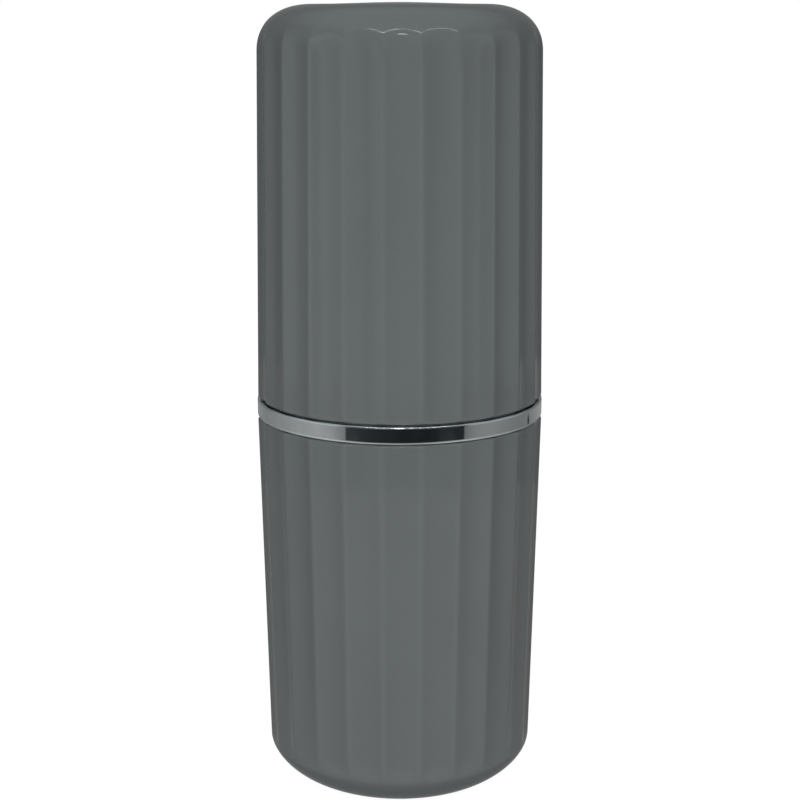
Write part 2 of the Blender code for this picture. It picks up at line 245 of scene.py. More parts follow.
# %% Carrying a profile round the axis
def turned(name, outline, columns, share=None, fall=0.0, ring=False):
    """Carries an outline of (radius, height) round the axis.

    A point lies at radius r = x - share * (depth left), at (r cos a, r sin a, z). The outline runs
    down the outside, so that the faces point out. A ring's outline closes on itself.
    """
    angles, depth = columns
    share = np.zeros(len(outline)) if share is None else share
    fall = np.broadcast_to(fall, len(outline))
    radius = outline[:, :1] - share[:, None] * depth_left(depth[None, :], fall[:, None])
    height = np.broadcast_to(outline[:, 1:], radius.shape)
    grid = np.stack([radius * np.cos(angles), radius * np.sin(angles), height], axis=2)
    rows, across = radius.shape
    index = np.arange(rows * across).reshape(rows, across)
    index_next = np.roll(index, -1, axis=1)
    lower, lower_next = np.roll(index, -1, axis=0), np.roll(index_next, -1, axis=0)
    quads = np.stack([index, lower, lower_next, index_next], axis=2)
    if ring:
        return mesh_object(name, grid.reshape(-1, 3), quads.reshape(-1, 4), np.zeros((0, 3), int))
    quads = quads[1:-2]
    first, last = rows * across, rows * across + 1
    top_fan = np.stack([np.full(across, first), index[1], index_next[1]], axis=1)
    end_fan = np.stack([np.full(across, last), index_next[-2], index[-2]], axis=1)
    points = np.vstack([grid.reshape(-1, 3), grid[0, :1], grid[-1, :1]])
    used = np.r_[across : (rows - 1) * across, first, last]
    place = np.zeros(len(points), int)
    place[used] = np.arange(len(used))
    fans = place[np.vstack([top_fan, end_fan])]
    return mesh_object(name, points[used], place[quads.reshape(-1, 4)], fans)


# %% Measuring a piece
def volume_of(piece):
    """Signed volume in cubic centimetres: a sixth of the triple product over every triangle."""
    mesh = piece.data
    mesh.calc_loop_triangles()
    corners = np.zeros(len(mesh.loop_triangles) * 3, int)
    mesh.loop_triangles.foreach_get("vertices", corners)
    points = np.zeros(len(mesh.vertices) * 3)
    mesh.vertices.foreach_get("co", points)
    a, b, c = points.reshape(-1, 3)[corners].reshape(-1, 3, 3).transpose(1, 0, 2)
    return float(np.einsum("ij,ij->i", a, np.cross(b, c)).sum() / 6 * 1e6)


def report(piece):
    """Prints a piece's triangles, size and volume. A negative volume would be inside out."""
    volume = volume_of(piece)
    size = " x ".join(f"{1000 * side:.1f}" for side in piece.dimensions)
    print(f"{piece.name}: {len(piece.data.loop_triangles)} triangles, {size} mm, {volume:.1f} cm3")
    assert volume > 0


# %% [markdown]
# ## Sizes
#
# The ring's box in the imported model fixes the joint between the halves, and the lid's box fixes
# the top. The other sizes are those of the solid model, apart from a few small roundings. Pieces
# that slide into each other have 0.3 mm of room on each side, enough to lift them out with wet
# hands.

# %% Heights and radii that the pieces share
GAP = 0.3 * MM
ring_low, ring_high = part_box("trim_ring")
lid_low, lid_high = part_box("lid")
RING_RADIUS = ring_high.x
RING_BOTTOM, RING_TOP = ring_low.z, ring_high.z
TUMBLER_HEIGHT = RING_BOTTOM - GAP
LID_MOUTH, LID_TOP = lid_low.z, lid_high.z

SHOULDER_BACK = 0.02 * MM
SHOULDER_RADIUS = RING_RADIUS - SHOULDER_BACK
SHOULDER_EDGE = 0.7 * MM
SHOULDER_LAND = 0.1 * MM
SPIGOT_RADIUS = SHOULDER_RADIUS - FLUTE_DEPTH - SHOULDER_EDGE - SHOULDER_LAND
SPIGOT_WALL = 1.15 * MM
BORE_RADIUS = SPIGOT_RADIUS - SPIGOT_WALL
FLANGE = 1.4 * MM
SPIGOT_TOP = RING_TOP - FLANGE - GAP
TUMBLER_DRAFT = radians(1.37)
FOOT_PROUD = 0.4 * MM
FOOT_THICKNESS = 1.1 * MM
FOOT_WIDTH = 5 * MM
FOOT_MARGIN = 1 * MM
CORNER_HEIGHT = 9.4 * MM
CORNER_WIDTH = 11.9 * MM
RECESS_TOP = FOOT_THICKNESS + GAP
TUMBLER_FLOOR = 1.4 * MM
BORE_FLOOR = RECESS_TOP + TUMBLER_FLOOR
BORE_CORNER = CORNER_HEIGHT - TUMBLER_FLOOR

LID_BACK = 0.1 * MM
LID_RADIUS = RING_RADIUS - LID_BACK
LID_DRAFT = radians(0.72)
LID_WALL = 1.3 * MM
NECK_HEIGHT = 12 * MM
NECK_TOP = RING_TOP + NECK_HEIGHT
PLATE = 2 * MM
PLATE_SUNK = 1.5 * MM
PLATE_SEAT = NECK_TOP - PLATE_SUNK - PLATE
print(f"joint at {1000 * RING_TOP:.1f} mm, top at {1000 * LID_TOP:.1f} mm")


# %% Radii that change with the height
def tumbler_radius(z):
    """Radius over the tumbler's ridges at a height."""
    return SHOULDER_RADIUS - (TUMBLER_HEIGHT - z) * tan(TUMBLER_DRAFT)


def bore_radius(z):
    """Radius inside the tumbler at a height."""
    return tumbler_radius(z) - (SHOULDER_RADIUS - BORE_RADIUS)


def lid_bore_radius(z):
    """Radius inside the lid at a height."""
    return LID_RADIUS - FLUTE_DEPTH - LID_WALL - (z - LID_MOUTH) * tan(LID_DRAFT)


CORNER_TOP = FOOT_PROUD + CORNER_HEIGHT
UNDERSIDE_RADIUS = tumbler_radius(CORNER_TOP) - CORNER_WIDTH
RECESS_FAR = UNDERSIDE_RADIUS - FOOT_MARGIN
print(f"underside {2000 * UNDERSIDE_RADIUS:.1f} mm wide")

# %% [markdown]
# ## Lid
#
# The lid is a deep cap. Its flutes are cut straight through the soft lower edge and fade out on
# the top rounding, from 12 mm to 4 mm below the top. The crown is slightly domed, as a moulded top
# always is, and plain inside. The outline carries two more numbers for each of its points: the
# share of the flutes' depth, and how far the outline has fallen back from the wall's line.

# %% The lid's outline, the share of the flutes along it, and how far it falls back from the wall
LID_EDGE = 1.1 * MM
LID_CORNER_WIDTH = 14.4 * MM
LID_CORNER_HEIGHT = 11.9 * MM
LID_FULLNESS = 2.25
LID_CROWN = 0.45 * MM
CROWN_ROWS = 12
LID_ROOF = 2.2 * MM
LID_LIP = 0.3 * MM
LID_FADE = (4 * MM, 12 * MM)


def lid_outline():
    """Outer side from the crown down, then the inside from the lip up to the roof."""
    corner_foot = LID_TOP - LID_CROWN - LID_CORNER_HEIGHT
    side = LID_RADIUS - (corner_foot - LID_MOUTH) * tan(LID_DRAFT)
    centre = side - LID_CORNER_WIDTH
    across = np.linspace(0, centre, CROWN_ROWS + 1)[:-1]
    dome = LID_TOP - LID_CROWN * (1 - np.cos(pi * across / centre)) / 2
    rim = LID_MOUTH + LID_EDGE
    outer = profile(
        np.stack([across, dome], axis=1),
        superellipse(
            centre, corner_foot, LID_CORNER_WIDTH, LID_CORNER_HEIGHT, LID_FULLNESS, steps=60
        ),
        arc(LID_RADIUS - LID_EDGE, rim, LID_EDGE, 0, -90, 12),
    )
    roof = LID_TOP - LID_CROWN - LID_ROOF
    height = LID_CORNER_HEIGHT - LID_ROOF
    width = LID_CORNER_WIDTH - LID_WALL - FLUTE_DEPTH
    wall_top = roof - height
    mouth = lid_bore_radius(LID_MOUTH)
    shoulder = superellipse(
        lid_bore_radius(wall_top) - width, wall_top, width, height, LID_FULLNESS, steps=16
    )
    inner = profile(
        arc(mouth + LID_LIP, LID_MOUTH + LID_LIP, LID_LIP, 270, 180, 4),
        shoulder[::-1],
        (0, roof),
    )
    none = np.zeros(len(inner))
    plain, full = LID_FADE
    share = smooth_step((LID_TOP - outer[:, 1] - plain) / (full - plain))
    fall = np.where(outer[:, 1] < rim, LID_RADIUS - outer[:, 0], 0)
    return np.vstack([outer, inner]), np.append(share, none), np.append(fall, none)


lid_shape, lid_share, lid_fall = lid_outline()
lid = turned("fluted_lid", lid_shape, flute_columns(), lid_share, lid_fall)
report(lid)

# %% [markdown]
# ## Tumbler
#
# The tumbler tapers towards its foot by almost a degree and a half, and its bottom corner is a
# flatter superellipse. The flutes fade out above the corner. Its shoulder carries the ring, the
# spigot stands up inside the ring, and a shallow recess in the underside holds the foot. Wall and
# corner meet at a slight angle that gloss would show as a line, so the points near it are relaxed.

# %% The tumbler's outline, from the floor of its bore round to the underside
TUMBLER_FULLNESS = 1.61
TUMBLER_FADE = (8.5 * MM, 14 * MM)
RECESS_EDGE = 0.2 * MM
SPIGOT_EDGE = 0.2 * MM
CORNER_BLEND = 5 * MM
CORNER_RELAXED = 10


def tumbler_outline():
    """Inside from the floor up, over the spigot and the shoulder, down the outside, underneath."""
    wall_foot = BORE_FLOOR + BORE_CORNER
    rim = SPIGOT_EDGE
    inner = profile(
        (0, BORE_FLOOR),
        arc(bore_radius(wall_foot) - BORE_CORNER, wall_foot, BORE_CORNER, -90, 0, 12),
        (BORE_RADIUS, TUMBLER_HEIGHT),
        arc(BORE_RADIUS + rim, SPIGOT_TOP - rim, rim, 180, 90, 3),
        arc(SPIGOT_RADIUS - rim, SPIGOT_TOP - rim, rim, 90, 0, 3),
        (SPIGOT_RADIUS, TUMBLER_HEIGHT),
    )
    corner = superellipse(UNDERSIDE_RADIUS, 0, CORNER_WIDTH, CORNER_HEIGHT, TUMBLER_FULLNESS)
    corner = corner[::-1] * (1, -1) + (0, CORNER_TOP)
    wall = line_rows(corner[0], (SHOULDER_RADIUS, TUMBLER_HEIGHT), CORNER_BLEND)
    corner = relaxed(np.vstack([wall[:0:-1], corner]), CORNER_RELAXED)
    edge = SHOULDER_EDGE
    shoulder = arc(SHOULDER_RADIUS - edge, TUMBLER_HEIGHT - edge, edge, 90, 0, 8)
    outer = profile(shoulder, corner)
    far = RECESS_FAR
    near = far - FOOT_WIDTH - 2 * GAP
    small = RECESS_EDGE
    under = profile(
        arc(far + small, FOOT_PROUD + small, small, 270, 180, 3),
        (far, RECESS_TOP),
        (near, RECESS_TOP),
        arc(near - small, FOOT_PROUD + small, small, 0, -90, 3),
        (0, FOOT_PROUD),
    )
    plain, full = TUMBLER_FADE
    share = smooth_step((outer[:, 1] - plain) / (full - plain))
    shares = [np.zeros(len(inner)), share, np.zeros(len(under))]
    return np.vstack([inner, outer, under]), np.concatenate(shares)


tumbler_shape, tumbler_share = tumbler_outline()
tumbler = turned("fluted_tumbler", tumbler_shape, flute_columns(), tumbler_share)
report(tumbler)

# %% [markdown]
# ## Ring
#
# The ring is a flat band with four small roundings. On the real one the plating makes these
# roundings flash as thin bright lines above and below the band, so they need real geometry: a bump
# in the finish would shade them, but couldn't make them mirror the ceiling. Its profile closes on
# itself, so it needs no fans.

# %% The plated ring, a profile that closes on itself
RING_EDGE = 0.45 * MM
ring_bore = SPIGOT_RADIUS + GAP
ring_outline = profile(
    arc(RING_RADIUS - RING_EDGE, RING_TOP - RING_EDGE, RING_EDGE, 90, 0),
    arc(RING_RADIUS - RING_EDGE, RING_BOTTOM + RING_EDGE, RING_EDGE, 0, -90),
    arc(ring_bore + RING_EDGE, RING_BOTTOM + RING_EDGE, RING_EDGE, -90, -180),
    arc(ring_bore + RING_EDGE, RING_TOP - RING_EDGE, RING_EDGE, 180, 90),
)
RING_COLUMNS = 384
ring = turned("plated_band", ring_outline, plain_columns(RING_COLUMNS), ring=True)
report(ring)

# %% [markdown]
# ## Foot
#
# A soft ring lies in the recess under the tumbler and lifts it off the table by 0.4 mm. Two fine
# grooves in its sole let it grip when the table is wet. They are half circles in the profile, so
# that they cost no cutter.

# %% The foot ring with its two grooves
FOOT_EDGE = 0.25 * MM
GROOVE = 0.3 * MM
FOOT_COLUMNS = 240
foot_far = RECESS_FAR - GAP
foot_near = foot_far - FOOT_WIDTH


def groove(x):
    """Half a circle cut up into the sole, from the far side of x to the near side."""
    return arc(x, 0, GROOVE, 0, 180, 8)


foot_outline = profile(
    arc(foot_far - FOOT_EDGE, FOOT_THICKNESS - FOOT_EDGE, FOOT_EDGE, 90, 0, 4),
    arc(foot_far - FOOT_EDGE, FOOT_EDGE, FOOT_EDGE, 0, -90, 4),
    groove(foot_far - FOOT_WIDTH / 3),
    groove(foot_near + FOOT_WIDTH / 3),
    arc(foot_near + FOOT_EDGE, FOOT_EDGE, FOOT_EDGE, -90, -180, 4),
    arc(foot_near + FOOT_EDGE, FOOT_THICKNESS - FOOT_EDGE, FOOT_EDGE, 180, 90, 4),
)
foot = turned("grip_foot", foot_outline, plain_columns(FOOT_COLUMNS), ring=True)
report(foot)

# %% [markdown]
# ## Inner cup
#
# The cup hangs by a flange on top of the tumbler's spigot. It is flush with the ring, and the lid
# stands on it. The neck above keeps the lid in line. Below its mouth a ledge carries the divider,
# and a funnel leads from the ledge to the wall, so that no water stays there. One closed profile
# draws wall, ledge, neck and flange together, so they can't come apart.

# %% The cup's outline
CUP_WALL = 1.6 * MM
CUP_FLOOR = 1.8 * MM
CUP_CLEARANCE = 0.6 * MM
CUP_BOTTOM = BORE_FLOOR + CUP_CLEARANCE
CUP_COLUMNS = 288
NECK_WALL = 1.4 * MM
NECK_EDGE = 0.5 * MM
FLANGE_EDGE = 0.2 * MM
LEDGE_WIDTH = 1.4 * MM
SKIRT_DEPTH = 5 * MM
LEDGE_BELOW_SKIRT = 1 * MM
FUNNEL = 4.2 * MM
LEDGE_TOP = PLATE_SEAT - GAP
LEDGE_FOOT = PLATE_SEAT - SKIRT_DEPTH - LEDGE_BELOW_SKIRT
neck_outer = lid_bore_radius(NECK_TOP) - GAP
neck_foot = lid_bore_radius(RING_TOP) - GAP
neck_inner = neck_outer - NECK_WALL
ledge_inner = neck_inner - LEDGE_WIDTH


def cup_outline():
    """Inside from the floor up to the neck, over its rim, down the outside to the bottom."""
    corner = BORE_CORNER - CUP_WALL
    floor = CUP_BOTTOM + CUP_FLOOR
    wall_foot = CUP_BOTTOM + BORE_CORNER
    foot_radius = bore_radius(wall_foot) - GAP
    funnel_foot = LEDGE_FOOT - FUNNEL
    funnel_radius = bore_radius(min(funnel_foot, TUMBLER_HEIGHT)) - GAP - CUP_WALL
    rim = NECK_TOP - NECK_EDGE
    small = FLANGE_EDGE
    return profile(
        (0, floor),
        arc(foot_radius - CUP_WALL - corner, floor + corner, corner, -90, 0, 14),
        (funnel_radius, funnel_foot),
        (ledge_inner, LEDGE_FOOT),
        arc(ledge_inner + small, LEDGE_TOP - small, small, 180, 90, 3),
        (neck_inner, LEDGE_TOP),
        arc(neck_inner + NECK_EDGE, rim, NECK_EDGE, 180, 90, 6),
        arc(neck_outer - NECK_EDGE, rim, NECK_EDGE, 90, 0, 6),
        (neck_foot, RING_TOP),
        arc(SPIGOT_RADIUS - small, RING_TOP - small, small, 90, 0, 3),
        arc(SPIGOT_RADIUS - small, RING_TOP - FLANGE + small, small, 0, -90, 3),
        (BORE_RADIUS - GAP, RING_TOP - FLANGE),
        (BORE_RADIUS - GAP, TUMBLER_HEIGHT),
        arc(foot_radius - BORE_CORNER, wall_foot, BORE_CORNER, 0, -90, 14),
        (0, CUP_BOTTOM),
    )


cup = turned("inner_liner", cup_outline(), plain_columns(CUP_COLUMNS))
report(cup)

# %% [markdown]
# ## Brush divider
#
# The divider is a plate on the ledge, with a short skirt that centres it, three holes 16 mm wide
# for brushes and one of 30 mm for a tube of paste. The holes have soft rims, so that wet bristles
# don't catch. Plate and skirt are turned like the other pieces. The holes lie off the axis, so
# they are cut with Boolean modifiers: a cutter whose ends flare like a trumpet cuts a hole and
# rounds both its rims.

# %% The divider's plate and skirt
SKIRT_WALL = 1.4 * MM
BRUSH_HOLE_RADIUS = 8 * MM
PASTE_HOLE_RADIUS = 15 * MM
HOLE_WEB = 3.5 * MM
HOLE_MARGIN = 1.2 * MM
HOLE_RIM = 0.5 * MM
HOLE_COLUMNS = 96
CUTTER_OVER = 1 * MM
PLATE_EDGE = 0.4 * MM
PLATE_COLUMNS = 192
SKIRT_EDGE = 0.3 * MM
CREASE = radians(35)


def divider_outline():
    """From the middle of the plate's top over its edge, round the skirt, to the middle below."""
    top = PLATE_SEAT + PLATE
    plate = neck_inner - GAP
    outer = ledge_inner - GAP
    inner = outer - SKIRT_WALL
    foot = PLATE_SEAT - SKIRT_DEPTH
    small = SKIRT_EDGE
    return profile(
        (0, top),
        arc(plate - PLATE_EDGE, top - PLATE_EDGE, PLATE_EDGE, 90, 0, 5),
        (plate, PLATE_SEAT),
        (outer, PLATE_SEAT),
        arc(outer - small, foot + small, small, 0, -90, 4),
        arc(inner + small, foot + small, small, -90, -180, 4),
        (inner, PLATE_SEAT),
        (0, PLATE_SEAT),
    )


# %% Cutting a hole
def hole_outline(radius):
    """A cutter: straight in the middle, with an arc at each end that flares out to the rim."""
    top, bottom, flare = PLATE_SEAT + PLATE, PLATE_SEAT, HOLE_RIM
    wide = radius + flare
    return profile(
        (0, top + CUTTER_OVER),
        (wide, top + CUTTER_OVER),
        arc(wide, top - flare, flare, 100, 180, 7),
        arc(wide, bottom + flare, flare, 180, 260, 7),
        (wide, bottom - CUTTER_OVER),
        (0, bottom - CUTTER_OVER),
    )


def cut_holes(piece, holes):
    """Cuts flared holes of (radius, x, y) out of a piece, and keeps only the result."""
    cutters = []
    for radius, x, y in holes:
        name = f"hole_cutter_{len(cutters)}"
        cutter = turned(name, hole_outline(radius), plain_columns(HOLE_COLUMNS))
        cutter.data.transform(Matrix.Translation((x, y, 0)))
        cutters.append(cutter)
        boolean = piece.modifiers.new(cutter.name, "BOOLEAN")
        boolean.operation = "DIFFERENCE"
        boolean.solver = "EXACT"
        boolean.object = cutter
    ready = piece.evaluated_get(bpy.context.evaluated_depsgraph_get())
    mesh = bpy.data.meshes.new_from_object(ready)
    piece.modifiers.clear()
    piece.data = mesh
    mesh.set_sharp_from_angle(angle=CREASE)
    for cutter in cutters:
        bpy.data.objects.remove(cutter)


# %% The divider with its holes
reach = ledge_inner - GAP - SKIRT_WALL - HOLE_MARGIN
circle = reach - BRUSH_HOLE_RADIUS
spacing = 2 * asin((BRUSH_HOLE_RADIUS + HOLE_WEB / 2) / circle)
holes = [(PASTE_HOLE_RADIUS, 0, PASTE_HOLE_RADIUS - reach)]
for turn in (-spacing, 0, spacing):
    holes.append((BRUSH_HOLE_RADIUS, circle * sin(turn), circle * cos(turn)))
divider = turned("brush_plate", divider_outline(), plain_columns(PLATE_COLUMNS))
cut_holes(divider, holes)
report(divider)

# %% [markdown]
# ## Finishes
#
# Every finish is a tree of nodes, so that it stays sharp at any distance and needs no picture. The
# helpers keep these trees short: one makes a node, sets its values and links its inputs, and the
# others build on it. All patterns read Object coordinates, in metres, so a pattern has the same
# size on every piece and moves with it.

# %% Making and linking nodes
def add_node(tree, kind, links=None, values=None, **settings):
    """A new node. links maps an input's name or number to an output, values to a constant."""
    node = tree.nodes.new(kind)
    for key, value in settings.items():
        setattr(node, key, value)
    for key, value in (values or {}).items():
        node.inputs[key].default_value = value
    for key, output in (links or {}).items():
        tree.links.new(output, node.inputs[key])
    return node


def new_finish(name, **values):
    """A material, its tree, its Principled shader with constants set by name, and the place."""
    finish = bpy.data.materials.new(name)
    finish.use_nodes = True
    tree = finish.node_tree
    shader = tree.nodes["Principled BSDF"]
    for key, value in values.items():
        shader.inputs[key.replace("_", " ").title().replace("Ior", "IOR")].default_value = value
    place = add_node(tree, "ShaderNodeTexCoord").outputs["Object"]
    return finish, tree, shader, place


# %% Noise, ranges, colours and bumps
def noise(tree, place, size, detail=3, roughness=0.5):
    """Noise whose blotches are about size across."""
    values = {"Scale": 1 / size, "Detail": detail, "Roughness": roughness}
    return add_node(tree, "ShaderNodeTexNoise", {"Vector": place}, values).outputs["Fac"]


def ramp(tree, factor, low, high, from_low=0.35, from_high=0.65):
    """Maps a noise's middle range to a range of values."""
    values = {"From Min": from_low, "From Max": from_high, "To Min": low, "To Max": high}
    return add_node(tree, "ShaderNodeMapRange", {"Value": factor}, values).outputs["Result"]


def blend_colours(tree, factor, first, second):
    """A mix of two colours."""
    values = {6: (*first, 1), 7: (*second, 1)}
    node = add_node(tree, "ShaderNodeMix", {0: factor}, values, data_type="RGBA")
    return node.outputs[2]


def bump(tree, height, distance, under=None):
    """A bump whose full height is distance, over another bump if there is one."""
    links = {"Height": height}
    if under:
        links["Normal"] = under
    values = {"Distance": distance, "Strength": 1}
    return add_node(tree, "ShaderNodeBump", links, values).outputs["Normal"]


# %% [markdown]
# ### Slate plastic
#
# Both halves are moulded in a slate grey plastic with a glossy skin. Seen close, the skin has a
# very fine grain from the mould, its tone drifts by a percent or two, and handling has polished it
# unevenly. The ridges at the front and the back carry a painted highlight, a line a little paler
# than the rest along each crest, which fades out towards the holder's sides. The line of a ridge
# could be painted on the mesh, but a formula of the angle round the axis hits every ridge exactly.
# Towards the lid's top the colour darkens, a painted shade on the top rounding.

# %% The painted highlight along each ridge
RIDGE_POWER = 30
# Distances from the middle over which the painted ridge highlight fades out towards the sides.
HIGHLIGHT_SPAN = (16 * MM, 31 * MM)


def ridge_highlight_mask(tree, place, low, high):
    """Mask of the painted highlight: 1 on the crest of each ridge, and almost 0 from 1.5 mm beside
    it, a power of |sin(12 a)|.

    It fades out towards the holder's sides, and from the height low to the height high.
    """
    x, y, z = add_node(tree, "ShaderNodeSeparateXYZ", {0: place}).outputs
    line = add_node(tree, "ShaderNodeMath", {0: x, 1: y}, operation="ARCTAN2").outputs[0]
    steps = (("MULTIPLY", FLUTES / 2), ("SINE", 0), ("ABSOLUTE", 0), ("POWER", RIDGE_POWER))
    for operation, number in steps:
        values = {1: number}
        line = add_node(tree, "ShaderNodeMath", {0: line}, values, operation=operation).outputs[0]
    side = add_node(tree, "ShaderNodeMath", {0: x}, operation="ABSOLUTE").outputs[0]
    for limit in (ramp(tree, side, 1, 0, *HIGHLIGHT_SPAN), ramp(tree, z, 1, 0, low, high)):
        links = {0: line, 1: limit}
        line = add_node(tree, "ShaderNodeMath", links, operation="MULTIPLY").outputs[0]
    return line


print(f"ridges highlit up to {1000 * HIGHLIGHT_SPAN[0]:.0f} mm from the middle")

# %% The slate plastic
DARK_SLATE = (0.1060, 0.1172, 0.1174)
PALE_SLATE = (0.1106, 0.1224, 0.1226)
CLOUDS, SPECKS = 30 * MM, 0.6 * MM
GLOSS_PATCHES, GLOSS_SPREAD = 12 * MM, 0.02
GRAIN, GRAIN_HEIGHT = 0.35 * MM, 0.0015 * MM
WAVES, WAVE_HEIGHT = 6 * MM, 0.004 * MM
# How much paler the painted highlight on the ridges is than the slate.
RIDGE_HIGHLIGHT_GAIN = 1.06
# Heights over which the colour darkens towards the lid's top, a painted shade.
TOP_SHADE = (130 * MM, 192 * MM)


def slate_plastic(name, tone=1.0, roughness=0.13, grain=1.0, highlight_fade=None, top=1.0):
    """Slate: two near tones in soft clouds, a painted highlight on the ridges, a fine grain as bump,
    uneven gloss.

    highlight_fade gives the heights between which the painted ridge highlight fades out. top is
    the tone that the colour darkens to at the lid's top, a painted shade.
    """
    finish, tree, shader, place = new_finish(name, specular_ior_level=0.5)
    clouds = noise(tree, place, CLOUDS, 2)
    specks = noise(tree, place, SPECKS, 2)
    dark = [tone * c for c in DARK_SLATE]
    pale = [tone * c for c in PALE_SLATE]
    mixed = add_node(tree, "ShaderNodeMath", {0: clouds, 1: specks}, operation="ADD").outputs[0]
    shade = ramp(tree, mixed, 0, 1, 0.8, 1.2)
    slate = blend_colours(tree, shade, dark, pale)
    # A paler line along the ridges: a painted highlight.
    if highlight_fade:
        painted_highlight = {7: (*(RIDGE_HIGHLIGHT_GAIN * c for c in pale), 1)}
        links = {0: ridge_highlight_mask(tree, place, *highlight_fade), 6: slate}
        slate = add_node(tree, "ShaderNodeMix", links, painted_highlight, data_type="RGBA").outputs[2]
        # The colour darkens towards the lid's top: a painted shade on the top rounding.
        height = add_node(tree, "ShaderNodeSeparateXYZ", {0: place}).outputs[2]
        links = {"Vector": slate, "Scale": ramp(tree, height, 1, top, *TOP_SHADE)}
        slate = add_node(tree, "ShaderNodeVectorMath", links, operation="SCALE").outputs[0]
    tree.links.new(slate, shader.inputs["Base Color"])
    gloss = noise(tree, place, GLOSS_PATCHES, 3)
    gloss = ramp(tree, gloss, roughness - GLOSS_SPREAD, roughness + GLOSS_SPREAD)
    tree.links.new(gloss, shader.inputs["Roughness"])
    skin = bump(tree, noise(tree, place, GRAIN, 2), GRAIN_HEIGHT * grain)
    skin = bump(tree, noise(tree, place, WAVES, 1), WAVE_HEIGHT, under=skin)
    tree.links.new(skin, shader.inputs["Normal"])
    print(f"{name}: {len(tree.nodes)} nodes")
    return finish


# Heights where the painted ridge highlight fades out, and the painted shade at the lid's top.
LID_HIGHLIGHT_FADE, LID_TOP_PAINTED_SHADE = (188 * MM, 196 * MM), 0.925
TUMBLER_HIGHLIGHT_FADE = (14 * MM, 8 * MM)
# The tumbler's slate is a little darker than the lid's: painted shade offsetting the pale table it
# mirrors.
lid_finish = slate_plastic("slate_lid", 1.025, 0.065, highlight_fade=LID_HIGHLIGHT_FADE, top=LID_TOP_PAINTED_SHADE)
tumbler_finish = slate_plastic("slate_tumbler", 0.98, 0.08, highlight_fade=TUMBLER_HIGHLIGHT_FADE)
cup_finish = slate_plastic("slate_cup", 0.96, 0.26)
divider_finish = slate_plastic("slate_divider", 1.04, 0.3, grain=1.5)

# %% [markdown]
# ### Plating
#
# The ring is plastic with a bright metal plating. It mirrors the room, but the surface under it
# waves a little, so the edges of what it mirrors are not quite straight, and wiping has left faint
# hazy patches. So the base is a metal with hardly any roughness, and one slow noise gives both the
# haze and a small drift of tint.

# %% The bright plating
DULL_METAL, BRIGHT_METAL = (0.83, 0.88, 0.895), (0.88, 0.93, 0.945)
METAL_ROUGHNESS = (0.045, 0.08)
HAZE, METAL_WAVES, METAL_WAVE_HEIGHT = 4 * MM, 3 * MM, 0.007 * MM


def bright_plating(name):
    """Mirror metal with slow waves, a hint of haze in patches and a cool tint."""
    finish, tree, shader, place = new_finish(name, metallic=1.0)
    haze = noise(tree, place, HAZE, 4, 0.6)
    tint = blend_colours(tree, ramp(tree, haze, 0, 1), DULL_METAL, BRIGHT_METAL)
    tree.links.new(tint, shader.inputs["Base Color"])
    tree.links.new(ramp(tree, haze, *METAL_ROUGHNESS), shader.inputs["Roughness"])
    waves = bump(tree, noise(tree, place, METAL_WAVES, 2), METAL_WAVE_HEIGHT)
    tree.links.new(waves, shader.inputs["Normal"])
    print(f"{name}: {len(tree.nodes)} nodes")
    return finish


ring_finish = bright_plating("bright_plating")

# %% [markdown]
# ### Soft foot
#
# The foot is a dull near-black elastomer with a coarse grain. One noise drives its colour, its
# roughness and its bump, because on the real one they go together: the table has scuffed the high
# parts of the grain, which are paler and smoother than the low ones.

# %% The soft foot
BLACK_FOOT, SCUFFED_FOOT = (0.022, 0.023, 0.024), (0.05, 0.05, 0.048)
FOOT_GRAIN, FOOT_GRAIN_HEIGHT = 0.5 * MM, 0.02 * MM
FOOT_ROUGHNESS = (0.85, 0.65)


def soft_black(name):
    """Near black with a coarse matt grain, scuffed paler and smoother where it stands up."""
    finish, tree, shader, place = new_finish(name, specular_ior_level=0.35)
    grain = noise(tree, place, FOOT_GRAIN, 4, 0.6)
    colour = blend_colours(tree, ramp(tree, grain, 0, 1), BLACK_FOOT, SCUFFED_FOOT)
    tree.links.new(colour, shader.inputs["Base Color"])
    tree.links.new(ramp(tree, grain, *FOOT_ROUGHNESS), shader.inputs["Roughness"])
    tree.links.new(bump(tree, grain, FOOT_GRAIN_HEIGHT), shader.inputs["Normal"])
    print(f"{name}: {len(tree.nodes)} nodes")
    return finish


foot_finish = soft_black("soft_black")

# %% [markdown]
# ## Putting the pieces in place
#
# Each piece rides on the body that carries it in the imported model, stands for the solid there, and
# takes its finish.

# %% Finishes, bodies and slots
PLACES = [
    (lid, lid_finish, "lid", "lid", "lid_plastic"),
    (tumbler, tumbler_finish, "tumbler", "outer_tumbler", "tumbler_plastic"),
    (ring, ring_finish, "tumbler", "trim_ring", "plated_ring"),
    (foot, foot_finish, "tumbler", "foot_ring", "foot_rubber"),
    (cup, cup_finish, "cup", "inner_cup", "cup_plastic"),
    (divider, divider_finish, "divider", "brush_divider", "divider_plastic"),
]
for piece, finish, body, node, slot in PLACES:
    piece.data.materials.clear()
    piece.data.materials.append(finish)
    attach(piece, body)
    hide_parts(node)
    print(f"{piece.name} rides on {body}")

# %% [markdown]
# ## Studio
#
# The holder stands on a pale floor before a white background. The camera sees both as white, with
# only a soft shadow at the foot. White light from all sides would wash the flutes out, so the
# world is white only for rays that see it directly, and lights the holder with less than half of
# that.

# %% The background
def seen_directly(tree):
    """1 for rays from the camera, off a mirror or through glass, and 0 for the rest."""
    path = add_node(tree, "ShaderNodeLightPath")
    found = path.outputs["Is Camera Ray"]
    for other in ("Is Glossy Ray", "Is Transmission Ray"):
        links = {0: found, 1: path.outputs[other]}
        found = add_node(tree, "ShaderNodeMath", links, operation="MAXIMUM").outputs[0]
    return found


